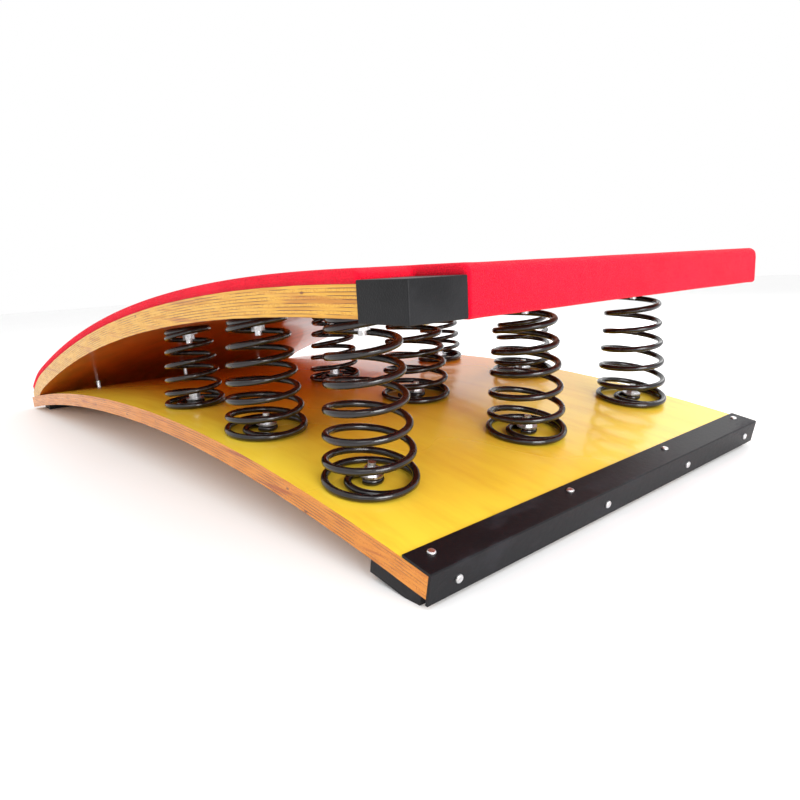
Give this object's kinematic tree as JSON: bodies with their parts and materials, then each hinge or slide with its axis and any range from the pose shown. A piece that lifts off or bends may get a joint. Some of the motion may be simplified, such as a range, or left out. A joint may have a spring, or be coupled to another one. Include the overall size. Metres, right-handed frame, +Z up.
{
  "type": "springboard",
  "caption": "Gymnastics vaulting springboard: carpeted bent plywood deck over an arched base, joined at the rear and carried by conical coil springs.",
  "frame": {"origin": "on the floor under the middle of the board's length and width", "axes": "+X from the low rear end to the high front end, +Y across the board, +Z up"},
  "size_m": [1.2002, 0.6, 0.256],
  "materials": {
    "base_plywood": "glossy yellow varnish on birch plywood",
    "deck_plywood": "clear varnish on bent birch plywood",
    "foam": "closed-cell foam",
    "carpet": "short pile carpet",
    "cap_plastic": "moulded satin plastic",
    "edge_rubber": "satin rubber edge",
    "foot_rubber": "matte rubber",
    "spring_steel": "glossy black enamel",
    "zinc": "bright zinc plate"
  },
  "bodies": {
    "base": {"base_board": "base_plywood", "edge_strip": "edge_rubber", "strip_top_screws": "zinc", "strip_front_screws": "zinc", "front_foot_near": "foot_rubber", "front_foot_far": "foot_rubber", "foot_screws": "zinc", "rear_pad": "foot_rubber", "rear_pad_screws": "zinc", "base_bolts": "zinc", "base_washers": "zinc", "base_nuts": "zinc", "seam_bolts": "zinc", "seam_washers": "zinc", "seam_nuts": "zinc", "spring_front_near": "spring_steel", "spring_front_centre": "spring_steel", "spring_front_far": "spring_steel", "spring_middle_near": "spring_steel", "spring_middle_centre": "spring_steel", "spring_middle_far": "spring_steel", "spring_rear_near": "spring_steel", "spring_rear_centre": "spring_steel", "spring_rear_far": "spring_steel"},
    "deck": {"deck_board": "deck_plywood", "foam_pad": "foam", "carpet": "carpet", "corner_cap": "cap_plastic", "cap_screws": "zinc", "deck_bolts": "zinc", "deck_washers": "zinc", "deck_nuts": "zinc"}
  },
  "joints": [
    {"name": "deck_press", "type": "hinge", "parent": "base", "child": "deck", "pos_m": [-0.555, 0, 0.03208], "axis": [0, 1, 0], "range_deg": [0, 4], "stiffness_Nm_per_rad": 60000, "springref_deg": -0.17, "deforming": ["spring_front_near", "spring_front_centre", "spring_front_far", "spring_middle_near", "spring_middle_centre", "spring_middle_far", "spring_rear_near", "spring_rear_centre", "spring_rear_far"]}
  ]
}
